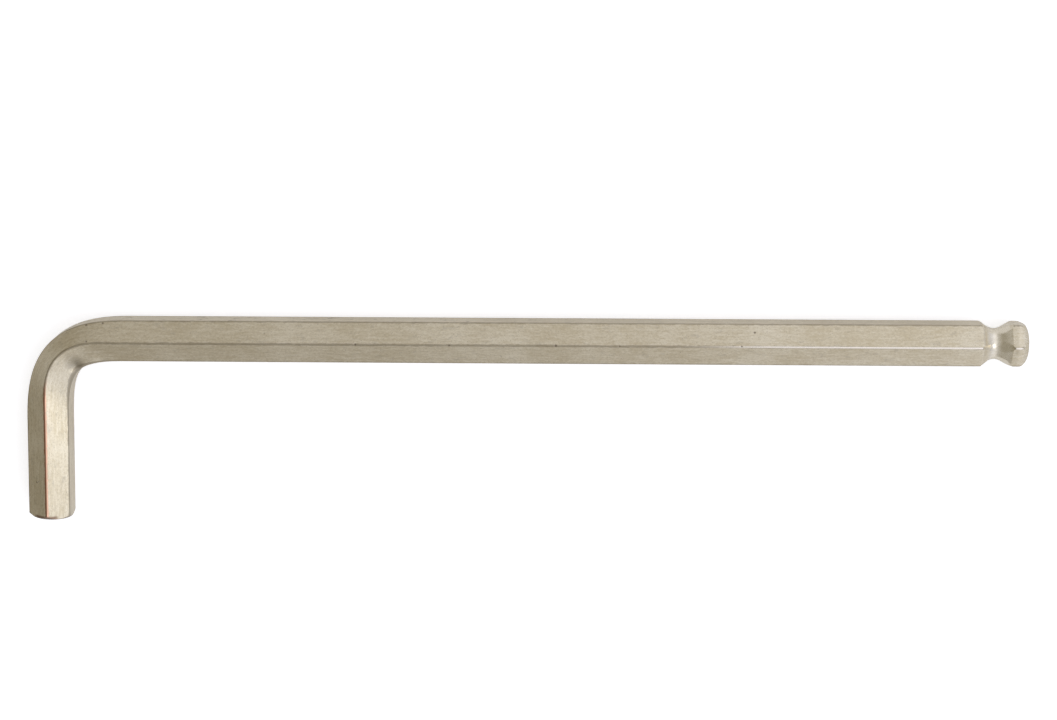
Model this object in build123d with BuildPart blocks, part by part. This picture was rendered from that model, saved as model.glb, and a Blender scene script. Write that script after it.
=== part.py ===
from build123d import *
import math
import os

# A ball-end hex key: one bar of six-sided steel, bent between a long arm and a short arm.
# It lies flat. The long arm runs along X with its ball end at +X, and the short arm points to -Y.
# Two of the bar's flats face the inside and the outside of the bend, so two corners point up and down.
# Millimetres and degrees. The origin is the middle of the footprint, on the surface the key lies on.

# The bar and its two arms
across_flats = 8.0
corner_radius = 0.25
overall_length = 191.0  # from the short arm's outer flat to the tip of the ball
short_reach = 39.25  # from the long arm's outer flat to the end of the short arm
bend_angle = 91.8  # between the two arms
bend_length = 26.6  # of the bent stretch, along the middle of the bar

# What bending does to the bar's section, in full at the middle of the bend
ridge_shift = 0.4  # the upper and lower corners are drawn towards the outside
outer_sink = 0.6  # the outer flat sinks
outer_narrowing = 0.4  # each outer corner is drawn in, up or down
inner_swell = 0.35  # the inner flat is pressed out
inner_bulge = 0.33  # each inner corner is squeezed out, up or down
inner_corner_radius = 1.1  # and grows blunt

# The ball end, with distances along the arm taken from the end of the plain bar
ball_length = 9.1
neck_at = 2.8
neck_depth = 1.12  # of the neck's faces below the bar's
shoulder_radius = 1.0  # where the milled faces leave the plain bar
rise_radius = 2.4  # where they leave the neck for the ball
rise_slope = 33.0
crease_at = 5.8  # where the milled neck meets the crown of the ball
crease_drop = 0.04  # of the crease under the ball's widest place
widest_at = 6.75
crown_radius = 5.5  # along the arm, of each of the ball's six faces
groove_clearance = 0.08  # from the milled flats to the groove turned round the neck
groove_nose = 2.2
groove_slopes = (38.0, 34.0)  # of its sides towards the plain bar and towards the tip
tip_rounding = 2.9
tip_flat = 4.0  # diameter of the flat at the very tip

# The short arm's end
end_cut = 0.1  # how far the turned chamfer reaches in past the bar's flats
chamfer_angle = 45.0
end_lean = 1.5  # the sheared end is this much out of square, shorter on the outer side

# How finely the bend is worked out
bend_stations = 21  # sections that its surfaces pass through
walk_steps = 20  # straight steps between two stations

end_face = across_flats - 2 * end_cut
neck_flats = across_flats - 2 * neck_depth
flat_count = 6
facet_angle = 360 / flat_count
half_flats = across_flats / 2
corner_reach = half_flats / math.cos(math.radians(facet_angle / 2))
flat_width = corner_reach
rounding_loss = corner_radius * (corner_reach / half_flats - 1)
axis_height = corner_reach - rounding_loss

# The crossing of the two arms' axes, placed so that the footprint is centred on the origin
arm_lean = bend_angle - 90
lean_sine = math.sin(math.radians(arm_lean))
lean_cosine = math.cos(math.radians(arm_lean))
long_arm = overall_length - half_flats
short_arm = short_reach - half_flats
left_extent = short_arm * lean_sine + half_flats * lean_cosine
front_extent = short_arm * lean_cosine + half_flats * lean_sine
crossing = Vector((left_extent - long_arm) / 2, (front_extent - half_flats) / 2, axis_height)
plain_length = long_arm - ball_length
short_direction = Vector(0, -1, 0).rotate(Axis.Z, -arm_lean)
short_end = crossing + short_direction * short_arm
chamfer_run = (across_flats - end_face / 2) / math.tan(math.radians(chamfer_angle))


def turn_after(share):
    """How far the bar has turned after this share of the bent stretch, starting and ending gently."""
    return (180 - bend_angle) * (share - math.sin(2 * math.pi * share) / (2 * math.pi))


# A walk along the bar's middle from the long arm, in short steps, which notes each station it passes
walker = Vector(0, 0, 0)
walk = [walker]
step_count = (bend_stations - 1) * walk_steps
for step in range(step_count):
    walker += Vector(-bend_length / step_count, 0, 0).rotate(Axis.Z, turn_after((step + 0.5) / step_count))
    if (step + 1) % walk_steps == 0:
        walk.append(walker)
bend_setback = walker.length / 2 / math.cos(math.radians(turn_after(1) / 2))

# The outline of the ball end's milled faces, in a plane through the arm's axis
neck_bottom = (neck_at, neck_flats / 2)
shoulder_slope = 2 * math.atan(neck_depth / neck_at)
shoulder_run = shoulder_radius * math.sin(shoulder_slope)
shoulder_drop = shoulder_radius * (1 - math.cos(shoulder_slope))
rise_run = rise_radius * math.sin(math.radians(rise_slope))
rise_height = rise_radius * (1 - math.cos(math.radians(rise_slope)))
crease = (crease_at, half_flats - crease_drop)
widest = (widest_at, half_flats)
crown_drop = crown_radius - math.sqrt(crown_radius**2 - (ball_length - widest_at) ** 2)
crown_end = (ball_length, half_flats - crown_drop)

# The outline of the groove, which a tool with a round nose turned
groove_bottom = (neck_at, neck_flats / 2 + groove_clearance)
groove_sides = []
for side, slope in zip((-1, 1), groove_slopes):
    angle = math.radians(slope)
    touch = (
        groove_bottom[0] + side * groove_nose * math.sin(angle),
        groove_bottom[1] + groove_nose * (1 - math.cos(angle)),
    )
    opening = (touch[0] + side * (across_flats - touch[1]) / math.tan(angle), across_flats)
    groove_sides.append((touch, opening))


def bar_corners(distortion):
    """The six corners of the section, from the top, with x to the outside of the bend."""
    ridge = ridge_shift * distortion
    inner = half_flats + inner_swell * distortion
    inner_height = flat_width / 2 + inner_bulge * distortion
    outer = half_flats - outer_sink * distortion
    outer_height = flat_width / 2 - outer_narrowing * distortion
    return [
        (ridge, corner_reach),
        (-inner, inner_height),
        (-inner, -inner_height),
        (ridge, -corner_reach),
        (outer, -outer_height),
        (outer, outer_height),
    ]


def corner_radii(distortion):
    """The rounding of each of those corners."""
    blunt = corner_radius + (inner_corner_radius - corner_radius) * distortion
    return [corner_radius, blunt, blunt, corner_radius, corner_radius, corner_radius]


def plane_across(station):
    """The plane across the bar at a station of the bend, with x to the outside of the bend."""
    turn = turn_after(station / (bend_stations - 1))
    outward = Vector(0, 1, 0).rotate(Axis.Z, turn)
    along = Vector(1, 0, 0).rotate(Axis.Z, turn)
    return Plane(crossing + Vector(bend_setback, 0, 0) + walk[station], x_dir=outward, z_dir=along)


with BuildPart() as hex_key:
    # The long arm, from the bend to the tip
    with BuildSketch(plane_across(0)):
        with BuildLine():
            FilletPolyline(*bar_corners(0), radius=corner_radii(0), close=True)
        make_face()
    extrude(amount=long_arm - bend_setback)

    # The ball's six faces and the neck behind them, milled across the bar
    shank_end = Plane(crossing + Vector(plain_length, 0, 0))
    for facet in range(flat_count):
        with BuildSketch(shank_end.rotated((facet * facet_angle, 0, 0))):
            with BuildLine():
                shoulder = TangentArc(
                    (0, half_flats), (shoulder_run, half_flats - shoulder_drop), tangent=(1, 0)
                )
                TangentArc(shoulder @ 1, neck_bottom, tangent=shoulder % 1)
                rise = TangentArc(
                    neck_bottom, (neck_at + rise_run, neck_flats / 2 + rise_height), tangent=(1, 0)
                )
                TangentArc(rise @ 1, crease, tangent=rise % 1)
                Line(crease, widest)
                TangentArc(widest, crown_end, tangent=(1, 0))
                Polyline(crown_end, (ball_length, across_flats), (0, across_flats), (0, half_flats))
            make_face()
        extrude(amount=across_flats, both=True, mode=Mode.SUBTRACT)

    # The groove turned round the neck
    (bar_touch, bar_opening), (tip_touch, tip_opening) = groove_sides
    with BuildSketch(shank_end):
        with BuildLine():
            ThreePointArc(bar_touch, groove_bottom, tip_touch)
            Polyline(tip_touch, tip_opening, bar_opening, bar_touch)
        make_face()
    revolve(axis=Axis(shank_end.origin, shank_end.x_dir), mode=Mode.SUBTRACT)

    # The rounding turned on the tip
    with BuildSketch(shank_end):
        with BuildLine():
            rounding = CenterArc((ball_length - tip_rounding, tip_flat / 2), tip_rounding, 0, 90)
            Polyline(
                rounding @ 1,
                (ball_length - tip_rounding, across_flats),
                (ball_length, across_flats),
                rounding @ 0,
            )
        make_face()
    revolve(axis=Axis(shank_end.origin, shank_end.x_dir), mode=Mode.SUBTRACT)

    # The bend, whose section is distorted most where the bar is bent most
    for station in range(bend_stations):
        distortion = math.sin(math.pi * station / (bend_stations - 1)) ** 2
        with BuildSketch(plane_across(station)):
            with BuildLine():
                FilletPolyline(*bar_corners(distortion), radius=corner_radii(distortion), close=True)
            make_face()
    loft()

    # The short arm
    with BuildSketch(plane_across(bend_stations - 1)):
        with BuildLine():
            FilletPolyline(*bar_corners(0), radius=corner_radii(0), close=True)
        make_face()
    extrude(amount=-(short_arm + half_flats - bend_setback))

    # Its sheared end, and the chamfer turned on the corners there
    end_plane = Plane(short_end, z_dir=short_direction)
    split(bisect_by=end_plane.rotated((0, 0, -end_lean)), keep=Keep.BOTTOM)
    with BuildSketch(Plane(short_end, x_dir=short_direction, z_dir=(0, 0, 1))):
        with BuildLine():
            Polyline(
                (0, end_face / 2),
                (half_flats, end_face / 2),
                (half_flats, across_flats),
                (-chamfer_run, across_flats),
                close=True,
            )
        make_face()
    revolve(axis=Axis(short_end, short_direction), mode=Mode.SUBTRACT)

os.makedirs("parts", exist_ok=True)
hex_key.part.label = "hex_key"
export_step(hex_key.part, "parts/hex_key.step")
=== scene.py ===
import math

import bmesh
import bpy
import numpy as np
from mathutils import Matrix, Vector


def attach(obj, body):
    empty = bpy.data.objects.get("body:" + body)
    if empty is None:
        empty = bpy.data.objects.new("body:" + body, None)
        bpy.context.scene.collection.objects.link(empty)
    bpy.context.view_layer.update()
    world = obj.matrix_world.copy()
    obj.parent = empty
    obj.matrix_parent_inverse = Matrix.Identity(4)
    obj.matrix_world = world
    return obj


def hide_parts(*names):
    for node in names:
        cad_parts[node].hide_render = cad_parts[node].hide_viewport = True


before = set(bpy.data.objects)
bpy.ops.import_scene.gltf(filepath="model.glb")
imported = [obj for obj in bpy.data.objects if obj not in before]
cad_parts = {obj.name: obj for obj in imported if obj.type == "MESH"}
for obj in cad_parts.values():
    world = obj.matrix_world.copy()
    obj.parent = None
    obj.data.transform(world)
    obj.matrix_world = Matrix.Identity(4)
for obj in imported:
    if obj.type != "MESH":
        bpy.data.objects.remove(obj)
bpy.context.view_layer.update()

MM = 0.001

# ---------------------------------------------------------------- the key's sizes, in mm, as in the CAD
across_flats = 8.0
corner_radius = 0.25
overall_length = 191.0
short_reach = 39.25
bend_angle = 91.8
bend_length = 26.6
ridge_shift = 0.4
outer_sink = 0.6
outer_narrowing = 0.4
inner_swell = 0.35
inner_bulge = 0.33
inner_corner_radius = 1.1
ball_length = 9.1
neck_at = 2.8
neck_depth = 1.12
shoulder_radius = 1.0
rise_radius = 2.4
rise_slope = 33.0
crease_at = 5.8
crease_drop = 0.04
widest_at = 6.75
crown_radius = 5.5
groove_clearance = 0.08
groove_nose = 2.2
groove_slopes = (38.0, 30.0)  # the CAD has 34 degrees towards the tip
tip_rounding = 2.9
tip_flat = 4.0
end_cut = 0.1
end_lean = 1.5

SIDES = 6
SIDE_ANGLE = 360 / SIDES
HALF_SIDE = math.radians(SIDE_ANGLE / 2)
half_flats = across_flats / 2
corner_reach = half_flats / math.cos(HALF_SIDE)
worn_radius = corner_radius + 0.16  # of the upper corner on the short arm
axis_height = corner_reach - corner_radius * (corner_reach / half_flats - 1)
arm_lean = math.radians(bend_angle - 90)
long_arm = overall_length - half_flats
short_arm = short_reach - half_flats
left_extent = short_arm * math.sin(arm_lean) + half_flats * math.cos(arm_lean)
front_extent = short_arm * math.cos(arm_lean) + half_flats * math.sin(arm_lean)
crossing = np.array([(left_extent - long_arm) / 2, (front_extent - half_flats) / 2, axis_height])
plain_length = long_arm - ball_length
neck_flats = across_flats - 2 * neck_depth
end_face = across_flats - 2 * end_cut

# ---------------------------------------------------------------- the mesh: rings of points along the bar
FLAT_STEPS = 18  # along each flat
CORNER_STEPS = 6  # round each corner
RING = SIDES * (FLAT_STEPS + CORNER_STEPS)
WALK_STEPS = 140  # from each ring of the bend to the next
FINER = 10  # smaller steps in each of those
# How many rings each stretch has, counting both its ends
NECK_RINGS, CREST_RINGS, TIP_RINGS = 96, 10, 46
LONG_ARM_RINGS, SHORT_ARM_RINGS, END_RINGS = 236, 80, 25
END_DETAIL = 1.2  # the length at the short arm's end where the rings are closer together
WEAR_FROM = 0.62  # the share of the bend where the upper corner's wear starts
WEAR_OVER = 0.3  # the share over which it grows
LEAN_REACH = 3.0  # the shear's lean fades out over this length


def turn_after(share):
    return math.radians(180 - bend_angle) * (share - math.sin(2 * math.pi * share) / (2 * math.pi))


def bend_walk(steps):
    """Points along the bar's middle through the bend, from the long arm, and the direction there."""
    point = np.zeros(3)
    points, turns = [point], [0.0]
    small_steps = steps * FINER
    for step in range(small_steps):
        turn = turn_after((step + 0.5) / small_steps)
        point = point + np.array([-math.cos(turn), -math.sin(turn), 0]) * bend_length / small_steps
        if (step + 1) % FINER == 0:
            points.append(point)
            turns.append(turn_after((step + 1) / small_steps))
    return points, turns


def filleted(corners, radii):
    """A ring of points round a polygon with rounded corners: each corner's arc, then the flat after it."""
    ring = []
    count = len(corners)
    arcs = []
    for i in range(count):
        here = np.array(corners[i])
        to_last = np.array(corners[i - 1]) - here
        to_next = np.array(corners[(i + 1) % count]) - here
        to_last /= np.linalg.norm(to_last)
        to_next /= np.linalg.norm(to_next)
        half_angle = math.acos(float(np.dot(to_last, to_next))) / 2
        reach = radii[i] / math.tan(half_angle)
        start, end = here + to_last * reach, here + to_next * reach
        middle = (to_last + to_next) / np.linalg.norm(to_last + to_next)
        centre = here + middle * radii[i] / math.sin(half_angle)
        a = math.atan2(*(start - centre)[::-1])
        b = math.atan2(*(end - centre)[::-1])
        while b < a:
            b += 2 * math.pi
        angles = np.linspace(a, b, CORNER_STEPS + 1)
        arcs.append(centre + radii[i] * np.c_[np.cos(angles), np.sin(angles)])
    for i in range(count):
        ring.extend(arcs[i])
        start, end = arcs[i][-1], arcs[(i + 1) % count][0]
        for k in range(1, FLAT_STEPS):
            ring.append(start + (end - start) * k / FLAT_STEPS)
    return np.array(ring)


def bar_section(distortion, top_radius=corner_radius):
    ridge = ridge_shift * distortion
    inner = half_flats + inner_swell * distortion
    inner_height = corner_reach / 2 + inner_bulge * distortion
    outer = half_flats - outer_sink * distortion
    outer_height = corner_reach / 2 - outer_narrowing * distortion
    blunt = corner_radius + (inner_corner_radius - corner_radius) * distortion
    corners = [
        (ridge, corner_reach),
        (-inner, inner_height),
        (-inner, -inner_height),
        (ridge, -corner_reach),
        (outer, -outer_height),
        (outer, outer_height),
    ]
    return filleted(corners, [top_radius, blunt, blunt, corner_radius, corner_radius, corner_radius])


# Where bending has pressed the upper inner face: the share of the bend, the share of the face's width from
# the upper corner, how far each reaches, and the height in mm
PRESSED = (
    (0.47, 0.92, 0.080, 0.30, -0.42),
    (0.27, 0.95, 0.070, 0.35, 0.13),
)
FACE_NORMAL = np.array([-0.5, 0.866])  # out of that face
PRESSED_TO = CORNER_STEPS * 2 + FLAT_STEPS + 7  # the ring's first point past the pressing, on the inner flat
EASE_WIDTH = 0.25  # the pressing starts gently over this share of the face's width


def pressed_section(section, share):
    """The ring with its upper inner face pressed in and out."""
    section = section.copy()
    for k in range(CORNER_STEPS, PRESSED_TO):
        width = (k - CORNER_STEPS) / FLAT_STEPS
        ease = min(1.0, width / EASE_WIDTH)
        for at_share, at_width, share_reach, width_reach, rise in PRESSED:
            away = ((share - at_share) / share_reach) ** 2 + ((width - at_width) / width_reach) ** 2
            section[k] += FACE_NORMAL * rise * ease * math.exp(-away)
    return section


UNCUT = 99.0  # a turned radius that is larger than the bar
FLAT_LIMIT = math.radians(29.2)  # from a flat's middle, where it ends at the latest
ROUND_LIMIT = math.radians(22)  # where it ends if turning has left no flat
SWEEP_POINTS = 3001  # directions at which the outline is worked out

# Directions from a flat's middle to its corner, for sections that a lathe has cut
sweep = np.radians(np.linspace(0, SIDE_ANGLE / 2, SWEEP_POINTS))
fillet_centre = corner_reach - corner_radius / math.cos(HALF_SIDE)
fillet_edge = math.atan2(corner_radius / 2, fillet_centre + corner_radius * math.cos(HALF_SIDE))
from_corner = HALF_SIDE - sweep
bar_corner = np.where(
    from_corner < fillet_edge,
    fillet_centre * np.cos(from_corner)
    + np.sqrt(np.maximum(corner_radius**2 - (fillet_centre * np.sin(from_corner)) ** 2, 0)),
    UNCUT,
)


def turned_section(flat, turned):
    """A ring round a bar milled to this distance of its flats and turned to this radius."""
    limit = np.minimum(bar_corner, turned)
    milled = flat / np.cos(sweep)
    cut = np.nonzero(limit < milled)[0]
    first = cut[0] if len(cut) else len(sweep) - 1
    flat_end = min(sweep[first], FLAT_LIMIT)
    if turned <= flat:
        flat_end = ROUND_LIMIT
    outline = np.minimum(limit, milled)
    ring = []
    for side in range(SIDES):
        corner = math.radians(90 + SIDE_ANGLE * side)
        for k in range(CORNER_STEPS + 1):
            away = (flat_end - HALF_SIDE) * (1 - 2 * k / CORNER_STEPS)
            radius = np.interp(HALF_SIDE - abs(away), sweep, outline)
            ring.append((radius * math.cos(corner + away), radius * math.sin(corner + away)))
        start = np.array(ring[-1])
        next_corner = corner + math.radians(SIDE_ANGLE)
        away = flat_end - HALF_SIDE
        radius = np.interp(flat_end, sweep, outline)
        end = np.array((radius * math.cos(next_corner + away), radius * math.sin(next_corner + away)))
        for k in range(1, FLAT_STEPS):
            point = start + (end - start) * k / FLAT_STEPS
            length = np.linalg.norm(point)
            if length > turned:
                point *= turned / length
            if turned <= flat:
                point *= turned / np.linalg.norm(point)
            ring.append(tuple(point))
    return np.array(ring)


def arc_points(start, end, slope, count=40):
    """Points of the arc from start to end that leaves start at this slope, in radians."""
    start, end = np.array(start), np.array(end)
    chord = end - start
    bow = slope - math.atan2(chord[1], chord[0])
    if abs(bow) < 1e-6:
        return np.linspace(start, end, count)
    radius = np.linalg.norm(chord) / (2 * math.sin(bow))
    centre = start + radius * np.array([math.sin(slope), -math.cos(slope)])
    turns = np.linspace(0, -2 * bow, count)
    begin = start - centre
    return np.array(
        [
            centre
            + np.array(
                [
                    begin[0] * math.cos(t) - begin[1] * math.sin(t),
                    begin[0] * math.sin(t) + begin[1] * math.cos(t),
                ]
            )
            for t in turns
        ]
    )


# The ball end's milled outline
neck_bottom = (neck_at, neck_flats / 2)
shoulder_slope = 2 * math.atan((half_flats - neck_flats / 2) / neck_at)
shoulder_end = (
    shoulder_radius * math.sin(shoulder_slope),
    half_flats - shoulder_radius * (1 - math.cos(shoulder_slope)),
)
rise_angle = math.radians(rise_slope)
rise_start = (
    neck_at + rise_radius * math.sin(rise_angle),
    neck_flats / 2 + rise_radius * (1 - math.cos(rise_angle)),
)
crown_end = (
    ball_length,
    half_flats - crown_radius + math.sqrt(crown_radius**2 - (ball_length - widest_at) ** 2),
)
milled_outline = np.vstack(
    [
        arc_points((0, half_flats), shoulder_end, 0),
        arc_points(shoulder_end, neck_bottom, -shoulder_slope),
        arc_points(neck_bottom, rise_start, 0),
        arc_points(rise_start, (crease_at, half_flats - crease_drop), rise_angle),
        arc_points((widest_at, half_flats), crown_end, 0),
    ]
)


def groove_radius_at(x):
    offset = x - neck_at
    slope = math.radians(groove_slopes[0] if offset < 0 else groove_slopes[1])
    reach = groove_nose * math.sin(slope)
    bottom = neck_flats / 2 + groove_clearance
    if abs(offset) <= reach:
        return bottom + groove_nose - math.sqrt(groove_nose**2 - offset**2)
    return bottom + groove_nose * (1 - math.cos(slope)) + (abs(offset) - reach) * math.tan(slope)


def tip_radius_at(x):
    offset = x - (ball_length - tip_rounding)
    if offset <= 0:
        return UNCUT
    return tip_flat / 2 + math.sqrt(max(tip_rounding**2 - offset**2, 0))


# Rings from the ball's tip to the short arm's end: a section, where its middle is, its turn, and how far along
rings = []


def add_ring(section, middle, turn, along):
    """along is the distance along the bar from the short arm's end."""
    rings.append((section, np.array(middle, dtype=float), turn, along))


walk_points, walk_turns = bend_walk(WALK_STEPS)
end_point = walk_points[-1]
bend_setback = np.linalg.norm(end_point) / 2 / math.cos(turn_after(1) / 2)
straight_short = short_arm - bend_setback
bend_to = straight_short + bend_length
shank_along = bend_to + plain_length - bend_setback

tip_from = ball_length - tip_rounding
neck_stations = np.linspace(0, crease_at, NECK_RINGS)
crest_stations = np.linspace(crease_at, tip_from, CREST_RINGS)[1:]
tip_stations = [tip_from + tip_rounding * math.sin(a) for a in np.linspace(0, math.pi / 2, TIP_RINGS)[1:]]
for x in reversed([*neck_stations, *crest_stations, *tip_stations]):
    flat = float(np.interp(x, milled_outline[:, 0], milled_outline[:, 1]))
    turned = min(groove_radius_at(x), tip_radius_at(x))
    add_ring(turned_section(flat, turned), crossing + [plain_length + x, 0, 0], 0.0, shank_along + x)
for x in np.linspace(plain_length, bend_setback, LONG_ARM_RINGS)[1:-1]:
    add_ring(bar_section(0), crossing + [x, 0, 0], 0.0, bend_to + x - bend_setback)
for i, (point, turn) in enumerate(zip(walk_points, walk_turns)):
    distortion = math.sin(math.pi * i / WALK_STEPS) ** 2
    worn = (worn_radius - corner_radius) * min(max((i / WALK_STEPS - WEAR_FROM) / WEAR_OVER, 0), 1)
    middle = crossing + [bend_setback, 0, 0] + point
    section = pressed_section(bar_section(distortion, corner_radius + worn), i / WALK_STEPS)
    add_ring(section, middle, turn, bend_to - bend_length * i / WALK_STEPS)
final_turn = turn_after(1)
short_direction = np.array([-math.cos(final_turn), -math.sin(final_turn), 0])
bend_end = crossing + [bend_setback, 0, 0] + end_point
for s in np.linspace(0, straight_short - END_DETAIL, SHORT_ARM_RINGS)[1:]:
    add_ring(bar_section(0, worn_radius), bend_end + short_direction * s, final_turn, straight_short - s)
for back in np.linspace(END_DETAIL, 0, END_RINGS)[1:]:
    section = turned_section(half_flats, end_face / 2 + back)
    add_ring(section, bend_end + short_direction * (straight_short - back), final_turn, back)

points, straight = [], []
for section, middle, turn, along in rings:
    outward = np.array([-math.sin(turn), math.cos(turn), 0])
    run = np.array([-math.cos(turn), -math.sin(turn), 0])
    lean = np.zeros(len(section))
    if along < LEAN_REACH:
        lean = -math.tan(math.radians(end_lean)) * section[:, 0] * (1 - along / LEAN_REACH)
    world = middle + section[:, :1] * outward + section[:, 1:] * np.array([0, 0, 1.0]) + lean[:, None] * run
    points.append(world)
    straight.append(np.c_[np.full(len(section), along), section])
ring_count = len(rings)

faces = []
for i in range(ring_count - 1):
    for j in range(RING):
        k = (j + 1) % RING
        faces.append((i * RING + j, i * RING + k, (i + 1) * RING + k, (i + 1) * RING + j))


def point_count():
    return sum(len(ring_points) for ring_points in points)


def close_end(ring_index, shares):
    """Smaller and smaller rings and a middle point, which close one end of the bar."""
    outer, straight_outer = points[ring_index], straight[ring_index]
    centre, straight_centre = outer.mean(axis=0), straight_outer.mean(axis=0)
    last = ring_index * RING
    for share in shares:
        start = point_count()
        points.append(centre + (outer - centre) * share)
        straight.append(straight_centre + (straight_outer - straight_centre) * share)
        for j in range(RING):
            k = (j + 1) % RING
            faces.append((last + j, last + k, start + k, start + j))
        last = start
    middle = point_count()
    points.append(np.array([centre]))
    straight.append(np.array([straight_centre]))
    for j in range(RING):
        faces.append((last + j, last + (j + 1) % RING, middle))


close_end(0, (0.8, 0.55, 0.3, 0.1))
close_end(ring_count - 1, (0.97, 0.9, 0.75, 0.6, 0.45, 0.3, 0.15))

vertices = np.vstack(points) * MM
straight_bar = np.vstack(straight)

mesh = bpy.data.meshes.new("hex_key_bar")
mesh.from_pydata(vertices.tolist(), [], faces)
bar_attribute = mesh.attributes.new("straight_bar", "FLOAT_VECTOR", "POINT")
bar_attribute.data.foreach_set("vector", straight_bar.astype(np.float32).ravel())

# How far each point is from the nearest corner of the bar, in mm
NO_EDGE = 2.0  # for points that have no corner of the bar near them
TURNED_UNDER = 4.45  # a ring of the ball end with its corners nearer to the axis than this counts as turned
column = np.arange(len(vertices)) % RING % (FLAT_STEPS + CORNER_STEPS)
into_flat = np.clip(column - CORNER_STEPS, 0, FLAT_STEPS)
before_next = np.where(into_flat > 0, FLAT_STEPS - into_flat, 0)
edge_distance = np.minimum(into_flat, before_next) * corner_reach / FLAT_STEPS
edge_distance[ring_count * RING :] = NO_EDGE
for i, (section, middle, turn, along) in enumerate(rings):
    corner_away = np.linalg.norm(section[CORNER_STEPS // 2])
    if 0 < along - shank_along < ball_length and corner_away < TURNED_UNDER:
        edge_distance[i * RING : (i + 1) * RING] = NO_EDGE
edge_attribute = mesh.attributes.new("from_edge", "FLOAT", "POINT")
edge_attribute.data.foreach_set("value", edge_distance.astype(np.float32))
work = bmesh.new()
work.from_mesh(mesh)
bmesh.ops.recalc_face_normals(work, faces=work.faces)
work.to_mesh(mesh)
work.free()
for polygon in mesh.polygons:
    polygon.use_smooth = True
mesh.set_sharp_from_angle(angle=math.radians(24))
key = bpy.data.objects.new("hex_key_bar", mesh)
bpy.context.scene.collection.objects.link(key)


# ---------------------------------------------------------------- materials
class Nodes:
    """Short ways to add and join nodes."""

    def __init__(self, tree):
        self.tree = tree
        tree.nodes.clear()

    def add(self, kind, **settings):
        node = self.tree.nodes.new(kind)
        for name, value in settings.items():
            setattr(node, name, value)
        return node

    def put(self, value, socket):
        if isinstance(value, bpy.types.NodeSocket):
            self.tree.links.new(value, socket)
        else:
            socket.default_value = value

    def math(self, operation, a, b=0.0, clamp=False):
        node = self.add("ShaderNodeMath", operation=operation, use_clamp=clamp)
        self.put(a, node.inputs[0])
        self.put(b, node.inputs[1])
        return node.outputs[0]

    def plus(self, a, b):
        return self.math("ADD", a, b)

    def minus(self, a, b):
        return self.math("SUBTRACT", a, b)

    def times(self, a, b):
        return self.math("MULTIPLY", a, b)

    def scaled(self, vector, by):
        node = self.add("ShaderNodeVectorMath", operation="MULTIPLY")
        self.put(vector, node.inputs[0])
        node.inputs[1].default_value = by
        return node.outputs[0]

    def noise(self, vector, scale, detail=2.0, roughness=0.5):
        node = self.add("ShaderNodeTexNoise")
        self.put(vector, node.inputs["Vector"])
        node.inputs["Scale"].default_value = scale
        node.inputs["Detail"].default_value = detail
        node.inputs["Roughness"].default_value = roughness
        return node.outputs["Fac"]

    def fade(self, value, low, high, out_low=0.0, out_high=1.0, smooth=True):
        node = self.add("ShaderNodeMapRange")
        node.interpolation_type = "SMOOTHSTEP" if smooth else "LINEAR"
        self.put(value, node.inputs["Value"])
        node.inputs["From Min"].default_value = low
        node.inputs["From Max"].default_value = high
        node.inputs["To Min"].default_value = out_low
        node.inputs["To Max"].default_value = out_high
        return node.outputs["Result"]

    def mix(self, factor, a, b):
        node = self.add("ShaderNodeMix", data_type="RGBA")
        self.put(factor, node.inputs["Factor"])
        self.put(a, node.inputs["A"])
        self.put(b, node.inputs["B"])
        return node.outputs["Result"]


steel = bpy.data.materials.new("satin_nickel")
steel.use_nodes = True
nodes = Nodes(steel.node_tree)
bar = nodes.add("ShaderNodeAttribute", attribute_name="straight_bar").outputs["Vector"]
parts = nodes.add("ShaderNodeSeparateXYZ")
nodes.put(bar, parts.inputs[0])
along, out, up = parts.outputs

speckle = nodes.noise(nodes.scaled(bar, (0.6, 1, 1)), 3.2, 3.0, 0.6)
streaks = nodes.noise(nodes.scaled(bar, (0.12, 1, 1)), 2.6, 3.0, 0.6)
patches = nodes.noise(bar, 0.11, 2.0, 0.5)
scuffs = nodes.noise(nodes.scaled(bar, (0.5, 1, 1)), 0.9, 4.0, 0.65)

edge = nodes.add("ShaderNodeAttribute", attribute_name="from_edge").outputs["Fac"]
grain = nodes.noise(nodes.scaled(bar, (0.7, 1, 1)), 7.0, 2.0, 0.6)
tone = nodes.plus(nodes.times(speckle, 0.4), nodes.times(streaks, 0.35))
tone = nodes.plus(tone, nodes.times(patches, 0.25))
colour = nodes.mix(nodes.fade(tone, 0.34, 0.66), (0.575, 0.49, 0.328, 1), (0.765, 0.69, 0.53, 1))
colour = nodes.mix(nodes.fade(grain, 0.42, 0.30), colour, (0.47, 0.40, 0.28, 1))

# Dull scuffs, strongest on the outer flat away from the ball
scuffed = nodes.fade(scuffs, 0.56, 0.70)
outer_flat = nodes.times(nodes.fade(out, 3.7, 3.95), nodes.fade(along, 142.0, 118.0))
scuffed = nodes.times(scuffed, nodes.plus(nodes.times(outer_flat, 0.5), 0.25))
colour = nodes.mix(scuffed, colour, (0.36, 0.32, 0.25, 1))

# The corners: painted shade as a thin dark line with breaks in it, and a painted highlight as a bright upper
# corner towards the ball
unevenness = nodes.noise(nodes.scaled(bar, (0.35, 1, 1)), 2.2, 3.0, 0.65)
unevenness = nodes.times(nodes.minus(unevenness, 0.5), 0.5)
painted_corner_shade = nodes.fade(nodes.plus(edge, unevenness), 0.20, 0.02)
upper = nodes.fade(up, 4.50, 4.55)
painted_corner_highlight = nodes.times(upper, nodes.fade(along, 150.0, 172.0))
corner_shade_strength = nodes.minus(0.62, nodes.times(painted_corner_highlight, 0.62))
corner_shade_strength = nodes.times(painted_corner_shade, corner_shade_strength)
colour = nodes.mix(corner_shade_strength, colour, (0.27, 0.225, 0.155, 1))
# Painted highlight: the upper corner towards the ball is coloured bright
colour = nodes.mix(painted_corner_highlight, colour, (0.92, 0.85, 0.74, 1))
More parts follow.
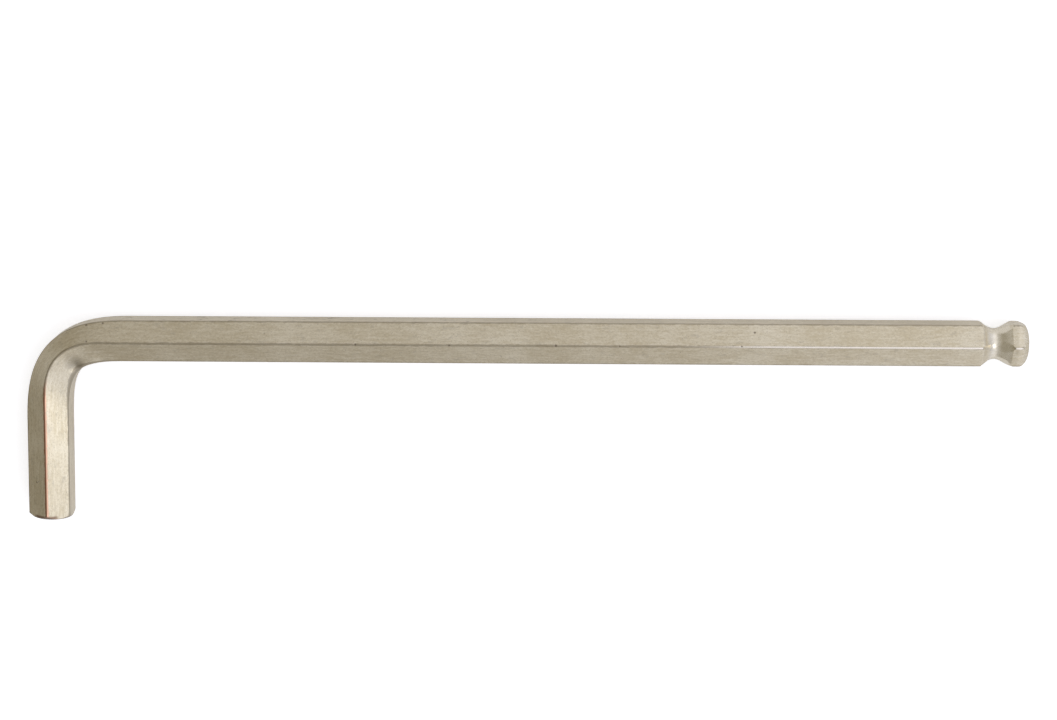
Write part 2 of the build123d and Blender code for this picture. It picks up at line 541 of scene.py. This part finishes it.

# Painted reflection: the neck and the rise behind the ball are coloured lighter than the bar, to stand for
# their brighter reflection
painted_neck_reflection = nodes.fade(along, shank_along + 0.3, shank_along + 2.0)
before_crease = nodes.fade(along, shank_along + crease_at + 0.1, shank_along + crease_at - 0.8)
painted_neck_reflection = nodes.times(painted_neck_reflection, before_crease)
colour = nodes.mix(nodes.times(painted_neck_reflection, 0.45), colour, (0.93, 0.87, 0.74, 1))

# Small pits and nicks, each a place in the straightened bar and a radius in mm
PITS = (
    (90.4, 0.05, 4.54, 0.30),
    (108.2, -0.05, 4.54, 0.26),
    (128.4, 0.05, 4.54, 0.34),
    (140.5, 0.0, 4.54, 0.22),
    (163.5, 0.1, 4.52, 0.24),
    (166.0, 2.5, 3.17, 0.30),
    (42.1, 3.5, 2.46, 0.28),
    (39.3, 3.4, 2.33, 0.28),
    (39.2, 0.6, 4.33, 0.26),
    (7.3, 2.1, 3.40, 0.26),
    (7.5, 1.65, 3.66, 0.20),
    (118.0, -2.3, 3.29, 0.16),
    (73.0, 1.9, 3.52, 0.14),
    (152.0, -1.2, 3.92, 0.14),
)
pit_depth = 0.0
for pit_along, pit_out, pit_up, pit_radius in PITS:
    gap = nodes.add("ShaderNodeVectorMath", operation="DISTANCE")
    nodes.put(bar, gap.inputs[0])
    gap.inputs[1].default_value = (pit_along, pit_out, pit_up)
    pit = nodes.fade(gap.outputs["Value"], pit_radius, pit_radius * 0.3)
    pit_depth = nodes.math("MAXIMUM", pit_depth, pit)
colour = nodes.mix(nodes.times(pit_depth, 0.75), colour, (0.16, 0.125, 0.09, 1))

# Painted shade: a dark patch with a ragged edge in the hollow of the upper inner face
hollow = nodes.add("ShaderNodeVectorMath", operation="DISTANCE")
nodes.put(nodes.scaled(bar, (1, 0.8, 0.8)), hollow.inputs[0])
hollow.inputs[1].default_value = (34.6, -2.5, 2.45)
painted_hollow_shade = nodes.plus(hollow.outputs["Value"], nodes.times(nodes.minus(scuffs, 0.5), 1.2))
painted_hollow_shade = nodes.fade(painted_hollow_shade, 3.1, 0.2)
colour = nodes.mix(nodes.times(painted_hollow_shade, 0.62), colour, (0.20, 0.17, 0.12, 1))

# Worn plating: the short arm's upper corner is bare copper, with painted light on its inner side and painted
# shade, dark brown, on its outer side; the upper rim of that arm's end is dark brown
stretch = nodes.fade(along, 29.0, 24.5)
ragged = nodes.noise(nodes.scaled(bar, (0.6, 1, 1)), 1.7, 3.0, 0.65)
ragged = nodes.times(nodes.minus(ragged, 0.5), 0.3)
bare = nodes.fade(nodes.plus(nodes.minus(4.58, up), ragged), 0.17, 0.09)
bare = nodes.times(bare, stretch)
copper_lit_and_shaded = nodes.mix(nodes.fade(out, -0.10, 0.08), (0.76, 0.47, 0.32, 1), (0.34, 0.17, 0.10, 1))
colour = nodes.mix(bare, colour, copper_lit_and_shaded)
rim = nodes.times(nodes.fade(out, -2.2, -1.4), nodes.fade(up, 3.0, 3.4))
rim = nodes.times(nodes.fade(along, 0.85, 0.45), rim)
colour = nodes.mix(nodes.times(rim, 0.8), colour, (0.20, 0.11, 0.07, 1))

# The sheared end is torn steel: dull, with grooves across it
sheared = nodes.fade(along, 0.30, 0.05)
tear = nodes.noise(nodes.scaled(bar, (1, 0.25, 1)), 3.0, 4.0, 0.7)
torn = nodes.times(sheared, nodes.fade(tear, 0.35, 0.65, 0.35, 0.9))
colour = nodes.mix(torn, colour, (0.34, 0.31, 0.27, 1))

height = nodes.plus(nodes.times(speckle, 0.5), nodes.times(streaks, 0.4))
height = nodes.plus(height, nodes.times(grain, 0.35))
height = nodes.minus(height, nodes.times(pit_depth, 2.5))
height = nodes.minus(height, nodes.times(bare, 0.6))
height = nodes.plus(height, nodes.times(nodes.times(sheared, tear), 3.0))
bump = nodes.add("ShaderNodeBump")
bump.inputs["Strength"].default_value = 0.5
bump.inputs["Distance"].default_value = 0.00003
nodes.put(height, bump.inputs["Height"])
roughness = nodes.plus(0.22, nodes.times(tone, 0.24))
roughness = nodes.plus(roughness, nodes.times(nodes.plus(scuffed, sheared), 0.2))
roughness = nodes.minus(roughness, nodes.times(painted_corner_highlight, 0.1))
turned = nodes.times(nodes.fade(along, shank_along + 1.0, shank_along + 1.8), nodes.fade(edge, 1.5, 1.9))
roughness = nodes.math("SUBTRACT", roughness, nodes.times(turned, 0.07), clamp=True)

shader = nodes.add("ShaderNodeBsdfPrincipled")
shader.inputs["Metallic"].default_value = 1.0
nodes.put(colour, shader.inputs["Base Color"])
nodes.put(roughness, shader.inputs["Roughness"])
nodes.put(bump.outputs["Normal"], shader.inputs["Normal"])
output = nodes.add("ShaderNodeOutputMaterial")
nodes.put(shader.outputs[0], output.inputs["Surface"])
mesh.materials.append(steel)

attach(key, "root")
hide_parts("hex_key")

# ---------------------------------------------------------------- floor, world, lamp, camera
bpy.ops.mesh.primitive_plane_add(size=6.0, location=(0, 0, 0))
floor = bpy.context.object
floor.name = "floor"
paper = bpy.data.materials.new("white_paper")
paper.use_nodes = True
floor_nodes = Nodes(paper.node_tree)
path = floor_nodes.add("ShaderNodeLightPath")
diffuse = floor_nodes.add("ShaderNodeBsdfDiffuse")
diffuse.inputs["Color"].default_value = (0.86, 0.86, 0.86, 1)
glow = floor_nodes.add("ShaderNodeEmission")
brightness = floor_nodes.plus(
    floor_nodes.times(path.outputs["Is Camera Ray"], 0.55),
    floor_nodes.times(path.outputs["Is Glossy Ray"], 0.13),
)
floor_nodes.put(brightness, glow.inputs["Strength"])
both = floor_nodes.add("ShaderNodeAddShader")
floor_nodes.put(diffuse.outputs[0], both.inputs[0])
floor_nodes.put(glow.outputs[0], both.inputs[1])
output = floor_nodes.add("ShaderNodeOutputMaterial")
floor_nodes.put(both.outputs[0], output.inputs["Surface"])
floor.data.materials.append(paper)

world = bpy.data.worlds.new("studio")
bpy.context.scene.world = world
world.use_nodes = True
world_nodes = Nodes(world.node_tree)
path = world_nodes.add("ShaderNodeLightPath")
coordinates = world_nodes.add("ShaderNodeTexCoord")
direction = world_nodes.add("ShaderNodeSeparateXYZ")
world_nodes.put(coordinates.outputs["Generated"], direction.inputs[0])
east, north = direction.outputs[0], direction.outputs[1]
rising = world_nodes.plus(
    world_nodes.fade(east, -0.9, -0.1, 0.32, 0.56, smooth=False),
    world_nodes.fade(east, -0.1, 0.32, 0.0, 0.48),
)
rising = world_nodes.minus(rising, world_nodes.fade(east, 0.35, 0.8, 0.0, 0.32))
rising = world_nodes.times(rising, world_nodes.fade(north, -1.0, 1.0, 0.92, 1.10, smooth=False))
tint = world_nodes.fade(east, -0.9, 0.5, smooth=False)
tint = world_nodes.mix(tint, (1.0, 0.945, 0.81, 1), (1.0, 1.035, 1.19, 1))
tint = world_nodes.mix(path.outputs["Is Camera Ray"], tint, (1, 1, 1, 1))
strength = world_nodes.add("ShaderNodeMix", data_type="FLOAT")
world_nodes.put(path.outputs["Is Camera Ray"], strength.inputs["Factor"])
world_nodes.put(rising, strength.inputs["A"])
strength.inputs["B"].default_value = 1.0
background = world_nodes.add("ShaderNodeBackground")
world_nodes.put(strength.outputs["Result"], background.inputs["Strength"])
world_nodes.put(tint, background.inputs["Color"])
output = world_nodes.add("ShaderNodeOutputWorld")
world_nodes.put(background.outputs[0], output.inputs["Surface"])


def softbox(name, place, size, power):
    """An area lamp that faces the origin."""
    lamp = bpy.data.lights.new(name, "AREA")
    lamp.shape = "RECTANGLE"
    lamp.size, lamp.size_y = size
    lamp.energy = power
    lamp_object = bpy.data.objects.new(name, lamp)
    bpy.context.scene.collection.objects.link(lamp_object)
    lamp_object.location = place
    lamp_object.rotation_euler = (-Vector(place)).to_track_quat("-Z", "Y").to_euler()


softbox("right_softbox", (0.62, -0.08, 0.75), (0.36, 0.36), 0.85)

camera_data = bpy.data.cameras.new("camera")
camera = bpy.data.objects.new("camera", camera_data)
bpy.context.scene.collection.objects.link(camera)
tilt, pan, roll = (math.radians(a) for a in (12.7116, -1.3877, -0.0433))
camera_turn = Matrix.Rotation(roll, 3, "Z") @ Matrix.Rotation(tilt, 3, "X")
camera_turn = camera_turn @ Matrix.Rotation(pan, 3, "Y")
camera_place = Matrix.Translation((0.0107356, 0.1004812, 0.3971545))
camera.matrix_world = camera_place @ camera_turn.transposed().to_4x4()
frame_width = 1057
focal_distance = 2100  # in the same unit as the frame's width
camera_data.sensor_width = 36.0
camera_data.sensor_fit = "HORIZONTAL"
camera_data.lens = camera_data.sensor_width * focal_distance / frame_width
camera_data.clip_start = 0.01
bpy.context.scene.camera = camera

view = bpy.context.scene.view_settings
view.view_transform = "Standard"
